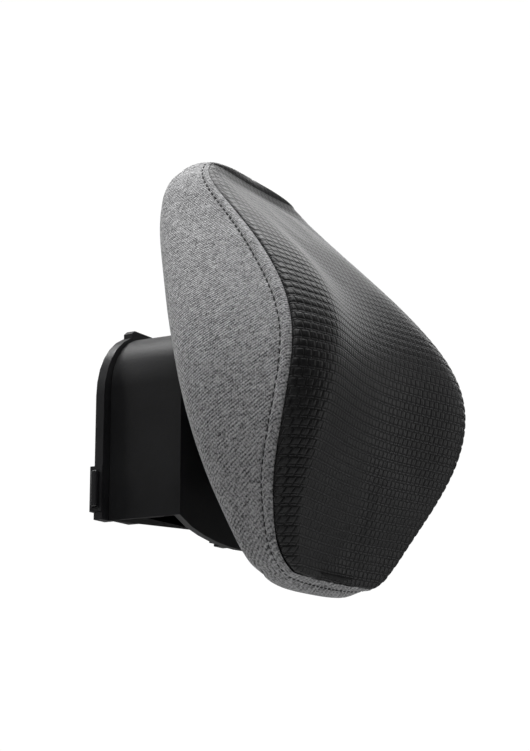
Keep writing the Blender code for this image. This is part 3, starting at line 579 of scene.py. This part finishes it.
WEAVE = weave_material()
HEATHER = heather_material()
BLACK = moulded("satin_black_plastic", (0.0085, 0.0085, 0.0092), 0.42, 0.55)
BLACK.node_tree.nodes["Principled BSDF"].inputs["Specular IOR Level"].default_value = 0.32
RIM = moulded("clip_frame_plastic", (0.010, 0.010, 0.011), 0.34, 0.40)
TABM = moulded("tab_plastic", (0.010, 0.010, 0.011), 0.30, 0.25)
BOARD = moulded("shell_plastic", (0.09, 0.09, 0.095), 0.5, 0.3)
NYLON = moulded("natural_nylon", (0.55, 0.53, 0.48), 0.5, 0.2, 900.0, 0.06)
RUBBER = moulded("soft_rubber", (0.020, 0.020, 0.020), 0.75, 0.8, 700.0)
STEEL = metal("coated_steel", (0.030, 0.030, 0.032), 0.38, 0.3, True)
ZINC = metal("zinc_plate", (0.52, 0.52, 0.54), 0.32)
SPRING = metal("spring_steel", (0.40, 0.40, 0.42), 0.26)
FOAM = foam_material()
STITCH = thread_material("dark_thread", (0.020, 0.020, 0.021))
PIPING = thread_material("seam_fold", (0.010, 0.010, 0.011))


# ------------------------------------------------------------- front panel
def front_panel():
    rows, arc = rows_of(300, 10)
    nh = 144                                   # faces across half the panel
    half, au, band_mm = [], [], []
    for row in rows:
        c = half_loop(row, DENSE_F)
        ln = np.linalg.norm(np.diff(c, axis=0), axis=1).sum()
        at = np.linspace(0, ln, nh + 1)
        pts, _ = resample(c, at)
        half.append(pts)
        ridge = np.linalg.norm(np.diff(c[:120], axis=0), axis=1).sum()
        band_mm.append(at - ridge)
        au.append(np.where(at < ridge, at / WEAVE_X, ridge / WEAVE_X + (at - ridge) / WEAVE_BAND))
    half, au, band_mm = np.array(half), np.array(au), np.array(band_mm)
    band_mm = np.concatenate([band_mm[:, :0:-1], band_mm], axis=1)
    g = np.concatenate([(half * [-1, 1, 1])[:, :0:-1], half], axis=1)
    u = np.concatenate([-au[:, :0:-1], au], axis=1)
    nb = len(arc)
    cap = (len(rows) - nb) // 2
    mid = nh
    v = np.zeros(len(rows))
    v[cap:cap + nb] = arc
    for r in range(cap - 1, -1, -1):
        v[r] = v[r + 1] - np.linalg.norm(g[r + 1, mid] - g[r, mid])
    for r in range(cap + nb, len(rows)):
        v[r] = v[r - 1] + np.linalg.norm(g[r, mid] - g[r - 1, mid])
    v = np.repeat((v / WEAVE_Z)[:, None], g.shape[1], 1) + 40.0
    u = u + 60.0
    n = normals_of(g)
    # at the poles the loops close up; take the neighbour's normal
    n[0], n[-1] = n[2], n[-3]
    n[1], n[-2] = n[2], n[-3]
    flat = plump(g.reshape(-1, 3), n.reshape(-1, 3)).reshape(g.shape)
    # distance from the seam along the section, and from the panel's rounded ends
    seam_d = seam_distance(g)
    fade = np.clip((seam_d - 0.6) / 1.8, 0, 1)
    fade = fade * fade * (3 - 2 * fade)
    odd = np.floor(v) % 2
    us = u + 0.5 * odd
    fu, fv = us % 1.0, v % 1.0
    bx = np.clip((0.5 - np.abs(fu - 0.5)) / 0.22, 0, 1)
    bz = np.clip((0.40 - np.abs(fv - 0.38)) / 0.16, 0, 1)
    block = np.sin(bx * math.pi / 2) * np.sin(bz * math.pi / 2)
    zone = np.clip((band_mm + 2.0) / 12.0, 0, 1)
    zone = zone * zone * (3 - 2 * zone)
    zone = 0.28 + 0.72 * zone
    # the cloth is pulled flatter over the crown of the pad
    zone = zone * (1 - 0.80 * np.clip((g[..., 2] + 2.0) / 45.0, 0, 1))
    relief = 0.34 * block * fade * zone - 0.20
    calm = 1 - 0.75 * np.clip((g[..., 2] - 30.0) / 30.0, 0, 1)
    roll = calm * (-1.2 * np.exp(-(seam_d / 1.0)**2) + 0.15 * np.exp(-((seam_d - 3.4) / 1.8)**2))
    # gentle pulls where the sewing gathers the cloth
    pull = 0.10 * np.sin(v * 2 * math.pi / 3.1) * np.exp(-(seam_d / 7.0)**2)
    flat = flat + n * (relief + roll + pull)[..., None]
    nr, nc = flat.shape[:2]
    # inner side: few columns, joined to the outer along the seam
    nin = 14
    pick = np.linspace(0, nc - 1, nin).round().astype(int)
    inner = flat[:, pick] - n[:, pick] * 2.6
    inner[:, 0], inner[:, -1] = flat[:, 0], flat[:, -1]
    inner = inner[:, 1:-1]
    m = nin - 2
    verts = np.concatenate([flat.reshape(-1, 3), inner.reshape(-1, 3)])
    off = nr * nc
    faces = [tuple(q) for q in grid_faces(nr, nc)]
    faces += [tuple(q) for q in grid_faces(nr, m, off, flip=True)]
    for r in range(nr - 1):
        a, b = r * nc, (r + 1) * nc
        i, j = off + r * m, off + (r + 1) * m
        faces.append((a, b, j, i))
        faces.append((b + nc - 1, a + nc - 1, i + m - 1, j + m - 1))
    ob = mesh_from("front_panel_weave", verts, faces, [WEAVE])
    lay = ob.data.uv_layers.new(name="weave")
    uu = np.concatenate([u.ravel(), np.repeat(u[:, pick[1:-1]].ravel(), 1)])
    vv = np.concatenate([v.ravel(), v[:, pick[1:-1]].ravel()])
    idx = np.zeros(len(ob.data.loops), int)
    ob.data.loops.foreach_get("vertex_index", idx)
    lay.data.foreach_set("uv", np.stack([uu[idx], vv[idx]], 1).ravel())
    zz = np.concatenate([zone.ravel(), zone[:, pick[1:-1]].ravel()])
    zlay = ob.data.uv_layers.new(name="zone")
    zlay.data.foreach_set("uv", np.stack([zz[idx], zz[idx]], 1).ravel())
    smooth(ob)
    return ob


# -------------------------------------------------------------- grey cover
def back_cover():
    rows, _ = rows_of(190, 12)
    near = np.concatenate([np.arange(0, 8.01, 0.42), [8.9, 10.0]])
    half = []
    for row in rows:
        c = half_loop(row, DENSE_B)
        ln = np.linalg.norm(np.diff(c, axis=0), axis=1).sum()
        k = min(1.0, ln / 40.0)
        at = np.concatenate([near * k, 10.0 * k + (ln - 10.0 * k) * np.linspace(0, 1, 66)[1:]])
        pts, _ = resample(c, at)
        half.append(pts)
    half = np.array(half)                                   # right half: seam to back centre
    g = np.concatenate([half, (half * [-1, 1, 1])[:, -2::-1]], axis=1)
    n = normals_of(g)
    n[0], n[-1] = n[2], n[-3]
    n[1], n[-2] = n[2], n[-3]
    flat = plump(g.reshape(-1, 3), n.reshape(-1, 3)).reshape(g.shape)
    seam_d = seam_distance(g)
    z = g[..., 2]
    sew = sew_in(z)
    calm = 1 - 0.65 * np.clip((z - 30.0) / 30.0, 0, 1) - 0.5 * np.clip((-95.0 - z) / 12.0, 0, 1)
    roll = calm * (-1.0 * np.exp(-(seam_d / 0.8)**2) + 0.45 * np.exp(-((seam_d - 0.52 * sew) / (0.32 * sew))**2)
                   - 0.55 * np.exp(-((seam_d - sew) / 0.75)**2))
    pull = 0.12 * np.sin(z * 2 * math.pi / 14.0 + 1.3 * np.sin(z / 9.0)) * np.exp(-((seam_d - 7) / 6.0)**2)
    flat = flat + n * (roll + pull)[..., None]
    nr, nc = flat.shape[:2]
    pick = np.unique(np.concatenate([[0], np.arange(4, nc - 4, 5), [nc - 1]]))
    inner = flat[:, pick] - n[:, pick] * 1.9
    inner[:, 0], inner[:, -1] = flat[:, 0], flat[:, -1]
    inner = inner[:, 1:-1]
    m = inner.shape[1]
    verts = np.concatenate([flat.reshape(-1, 3), inner.reshape(-1, 3)])
    off = nr * nc
    faces = [tuple(q) for q in grid_faces(nr, nc)]
    faces += [tuple(q) for q in grid_faces(nr, m, off, flip=True)]
    for r in range(nr - 1):
        a, b = r * nc, (r + 1) * nc
        i, j = off + r * m, off + (r + 1) * m
        faces.append((a, b, j, i))
        faces.append((b + nc - 1, a + nc - 1, i + m - 1, j + m - 1))
    ob = mesh_from("side_back_cover_heather", verts, faces, [HEATHER])
    bm = bmesh.new()
    bm.from_mesh(ob.data)
    bmesh.ops.remove_doubles(bm, verts=bm.verts, dist=0.00002)
    bmesh.ops.recalc_face_normals(bm, faces=bm.faces)
    bm.to_mesh(ob.data)
    bm.free()
    # the pocket's opening
    cut = rounded_box("pocket_cut", POCKET_W - 0.4, 60.0, POCKET_H - 0.4, 5.0)
    lean_about(cut, (0.0, PIVOT[1] + 20.0, PIVOT[2]))
    md = ob.modifiers.new("window", "BOOLEAN")
    md.operation, md.solver, md.object = "DIFFERENCE", "EXACT", cut
    dg = bpy.context.evaluated_depsgraph_get()
    me = bpy.data.meshes.new_from_object(ob.evaluated_get(dg))
    ob.modifiers.clear()
    ob.data = me
    bpy.data.objects.remove(cut, do_unlink=True)
    smooth(ob)
    grid = flat
    return ob, grid, n


def rounded_box(name, w, d, h, r, seg=6):
    """Box with rounded upright edges along Y, centred at the origin (mm)."""
    pts = []
    for cx, cz, a0 in ((w / 2 - r, h / 2 - r, 0), (-w / 2 + r, h / 2 - r, 90),
                       (-w / 2 + r, -h / 2 + r, 180), (w / 2 - r, -h / 2 + r, 270)):
        for k in range(seg + 1):
            a = math.radians(a0 + 90 * k / seg)
            pts.append((cx + r * math.cos(a), cz + r * math.sin(a)))
    m = len(pts)
    v = [(x, -d / 2, z) for x, z in pts] + [(x, d / 2, z) for x, z in pts]
    f = [tuple(range(m)), tuple(range(2 * m - 1, m - 1, -1))]
    f += [((i + 1) % m, i, m + i, m + (i + 1) % m) for i in range(m)]
    ob = mesh_from(name, v, f)
    bm = bmesh.new()
    bm.from_mesh(ob.data)
    bmesh.ops.recalc_face_normals(bm, faces=bm.faces)
    bm.to_mesh(ob.data)
    bm.free()
    return ob


def lean_about(ob, at):
    """Places an object made at the origin at a point given before the lean."""
    P = Vector(PIVOT) * MM
    m = (Matrix.Translation(P) @ Matrix.Rotation(math.radians(-LEAN), 4, "X")
         @ Matrix.Translation(-P) @ Matrix.Translation(Vector(at) * MM))
    ob.data.transform(m)
    ob.data.update()
    return ob


front = front_panel()
cover, cover_grid, cover_n = back_cover()


# ------------------------------------------------------ stitches and seam fold
def stitches():
    """One thread float per stitch, sunk in the sewn line on the grey side."""
    vg = cover_grid.reshape(-1, 3)
    nr, nc = cover_grid.shape[:2]
    tree = bvh_of(vg, grid_faces(nr, nc))
    # walk over the cloth from the edge, square to it, as far as the sewn line
    edge = seam_points(150)
    m = len(edge)
    loop = []
    for i in range(m):
        t = edge[(i + 2) % m] - edge[i - 2]
        t /= np.linalg.norm(t)
        d = np.array([0.0, 1.0, 0.0])
        pos = edge[i].copy()
        left = float(sew_in(edge[i][2]))
        d -= t * np.dot(d, t)
        while left > 0:
            step = min(0.4, left)
            hit = tree.find_nearest(Vector(pos))
            nn = np.array(hit[1])
            d -= nn * np.dot(d, nn)
            d /= max(np.linalg.norm(d), 1e-9)
            pos = np.array(tree.find_nearest(Vector(pos + d * step))[0])
            left -= step
        loop.append(pos)
    loop = np.array(loop)
    for _ in range(4):
        loop = (np.roll(loop, 1, 0) + 2 * loop + np.roll(loop, -1, 0)) / 4
    loop = np.concatenate([loop, loop[:1]])
    total = np.linalg.norm(np.diff(loop, axis=0), axis=1).sum()
    count = int(total / STITCH_PITCH)
    pts, _ = resample(loop, np.arange(count) * total / count)
    ahead, _ = resample(loop, (np.arange(count) * total / count + 0.3) % total)
    verts, faces = [], []
    for p, q in zip(pts, ahead):
        t = q - p
        if np.linalg.norm(t) < 1e-6:
            continue
        t /= np.linalg.norm(t)
        hit = tree.find_nearest(Vector(p))
        nrm = np.array(hit[1])
        if np.dot(nrm, p - [0, -50, p[2]]) < 0:
            nrm = -nrm
        s = np.cross(nrm, t)
        s /= np.linalg.norm(s)
        base = len(verts)
        L, R = 2.7, 0.40
        for k in range(9):
            a = k / 8 * math.pi
            along = -L / 2 * math.cos(a)
            rad = R * (math.sin(a)**0.45 if 0 < k < 8 else 0.12)
            lift = 0.10 - 0.42 * abs(math.cos(a))**3
            for j in range(8):
                b = 2 * math.pi * j / 8
                verts.append(p + t * along + nrm * (lift + rad * math.sin(b)) + s * rad * math.cos(b) * 1.15)
        for k in range(8):
            for j in range(8):
                a0, a1 = base + k * 8 + j, base + k * 8 + (j + 1) % 8
                faces.append((a0, a0 + 8, a1 + 8, a1))
        faces.append(tuple(base + j for j in range(8)))
        faces.append(tuple(base + 64 + j for j in range(7, -1, -1)))
    ob = mesh_from("top_stitching", verts, faces, [STITCH])
    bm = bmesh.new()
    bm.from_mesh(ob.data)
    bmesh.ops.recalc_face_normals(bm, faces=bm.faces)
    bm.to_mesh(ob.data)
    bm.free()
    smooth(ob)
    return ob


def seam_fold():
    """The turned-in edge of the black cloth, a thin roll down in the joint."""
    pts = seam_points(200)
    cen = []
    for p in pts:
        hit = FORM.find_nearest(Vector(p))
        nrm = np.array(hit[1])
        if np.dot(nrm, p - np.array([0, -45, p[2] * 0.6])) < 0:
            nrm = -nrm
        cen.append(p - nrm * 2.3)
    cen = np.array(cen)
    for _ in range(3):
        cen = (np.roll(cen, 1, 0) + 2 * cen + np.roll(cen, -1, 0)) / 4
    m = len(cen)
    verts, faces = [], []
    for i in range(m):
        t = cen[(i + 1) % m] - cen[i - 1]
        t /= np.linalg.norm(t)
        a = np.cross(t, [0.31, 0.9, 0.3])
        a /= np.linalg.norm(a)
        b = np.cross(t, a)
        for j in range(8):
            w = 2 * math.pi * j / 8
            verts.append(cen[i] + 0.8 * (a * math.cos(w) + b * math.sin(w)))
    for i in range(m):
        for j in range(8):
            faces.append((i * 8 + j, i * 8 + (j + 1) % 8, ((i + 1) % m) * 8 + (j + 1) % 8, ((i + 1) % m) * 8 + j))
    ob = mesh_from("seam_roll", verts, faces, [PIPING])
    smooth(ob)
    return ob


stitch = stitches()
fold = seam_fold()

for ob in (front, cover, stitch, fold):
    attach(ob, "cushion")
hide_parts("front_cover", "foam_core")
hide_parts("back_cover", "back_pad")

# ------------------------------------------------------------ carried-over CAD
LOOKS = {"saddle_hood": BLACK, "pocket_bezel": BLACK, "rear_clip_frame": RIM, "release_tab": TABM,
         "tab_pin": ZINC, "tab_spring": SPRING, "disc_spring": SPRING, "grip_pad": RUBBER,
         "hinge_base": STEEL, "hinge_yoke": STEEL, "hinge_pin": ZINC, "lock_nut": ZINC,
         "nut_washer": ZINC, "friction_washer": NYLON, "inner_shell": BOARD, "rim_screw": ZINC,
         "base_bolt": ZINC, "base_nut": ZINC, "insert_nut": ZINC, "yoke_screw": ZINC,
         "foam_core": FOAM, "back_pad": FOAM, "front_cover": WEAVE, "back_cover": HEATHER}
BEVEL = {"saddle_hood": 0.6, "rear_clip_frame": 0.55, "release_tab": 0.25, "pocket_bezel": 0.35,
         "hinge_base": 0.3, "hinge_yoke": 0.3, "inner_shell": 0.2, "grip_pad": 0.0}
for name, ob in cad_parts.items():
    key = [k for k in LOOKS if name.startswith(k)][0]
    ob.data.materials.clear()
    ob.data.materials.append(LOOKS[key])
    if name in ("front_cover", "back_cover", "foam_core", "back_pad"):
        continue
    w = ob.modifiers.new("weld", "WELD")
    w.merge_threshold = 0.000004
    d = ob.modifiers.new("flats", "DECIMATE")
    d.decimate_type = "DISSOLVE"
    d.angle_limit = math.radians(0.8)
    bev = BEVEL.get(key, 0.15)
    if bev:
        b = ob.modifiers.new("edges", "BEVEL")
        b.width = bev * MM
        b.segments = 3 if bev > 0.4 else 2
        b.limit_method = "ANGLE"
        b.angle_limit = math.radians(35)
        b.miter_outer = "MITER_ARC"
    smooth(ob)
    s = ob.modifiers.new("crease", "EDGE_SPLIT")
    s.split_angle = math.radians(32)
    even = ob.modifiers.new("even", "WEIGHTED_NORMAL")
    even.weight = 100
    even.keep_sharp = True

# --------------------------------------------------------------- stage, lights
def floor():
    v = [(-3600, -3600, -900), (3600, -3600, -900), (3600, 3600, -900), (-3600, 3600, -900)]
    ob = mesh_from("floor", v, [(0, 1, 2, 3)])
    n = Nodes("pale_floor")
    g = n.noise(coords(n), 3.0, 2.0)
    seen = n.put("ShaderNodeLightPath")
    n.link(n.math("MULTIPLY", seen.outputs["Is Camera Ray"], 0.62), n.bsdf.inputs["Emission Strength"])
    n.bsdf.inputs["Emission Color"].default_value = (0.95, 0.95, 0.95, 1)
    ob.data.materials.append(n.set(Base_Color=n.ramp(g, [(0.3, (0.84, 0.84, 0.84)), (0.7, (0.88, 0.88, 0.88))]), Roughness=0.8))
    return ob


floor()


def area(name, loc, target, size, energy, size_y=None):
    li = bpy.data.lights.new(name, "AREA")
    li.energy = energy
    li.shape = "RECTANGLE"
    li.size, li.size_y = size, size_y or size
    ob = bpy.data.objects.new(name, li)
    bpy.context.scene.collection.objects.link(ob)
    ob.location = loc
    d = Vector(target) - Vector(loc)
    ob.rotation_euler = d.to_track_quat("-Z", "Y").to_euler()
    return ob


aim = (0.0, -0.05, -0.02)
area("overhead", (0.10, 0.05, 0.95), aim, 1.0, 19.0, 0.9)
area("far_high", (1.05, 0.30, 0.62), aim, 0.8, 5.5, 0.8)
area("fill_side", (-0.80, -0.30, 0.85), aim, 0.5, 7.0, 0.5)
area("rim_far", (0.9, -0.75, 0.0), aim, 0.18, 1.6, 1.0)
area("back_fill", (-0.30, 1.0, 0.35), aim, 0.7, 5.0)

world = bpy.data.worlds.new("studio")
bpy.context.scene.world = world
world.use_nodes = True
wt = world.node_tree
bg = wt.nodes["Background"]
bg.inputs["Color"].default_value = (1, 1, 1, 1)
bg.inputs["Strength"].default_value = 0.05
out = wt.nodes["World Output"]
bright = wt.nodes.new("ShaderNodeBackground")
bright.inputs["Color"].default_value = (1, 1, 1, 1)
bright.inputs["Strength"].default_value = 1.02
lp = wt.nodes.new("ShaderNodeLightPath")
mx = wt.nodes.new("ShaderNodeMixShader")
wt.links.new(lp.outputs["Is Camera Ray"], mx.inputs[0])
wt.links.new(bg.outputs[0], mx.inputs[1])
wt.links.new(bright.outputs[0], mx.inputs[2])
wt.links.new(mx.outputs[0], out.inputs["Surface"])

bpy.context.scene.view_settings.view_transform = "Standard"

# ---------------------------------------------------------------------- camera
cam = bpy.data.cameras.new("camera")
cam.lens = 1823.0 / 751.0 * 36.0
cam.sensor_width = 36.0
cam.sensor_fit = "AUTO"
cam.clip_start, cam.clip_end = 0.05, 20.0
eye = bpy.data.objects.new("camera", cam)
bpy.context.scene.collection.objects.link(eye)
az, el, dist = math.radians(-60.0), math.radians(-13.0), 0.840
back = Vector((math.sin(az) * math.cos(el), -math.cos(az) * math.cos(el), math.sin(el)))
right = Vector((math.cos(az), math.sin(az), 0.0))
up = back.cross(right)
rot = Matrix((right, up, back)).transposed()
eye.matrix_world = Matrix.Translation(Vector((0.0, -0.0324, -0.0144)) + back * dist) @ rot.to_4x4()
bpy.context.scene.camera = eye
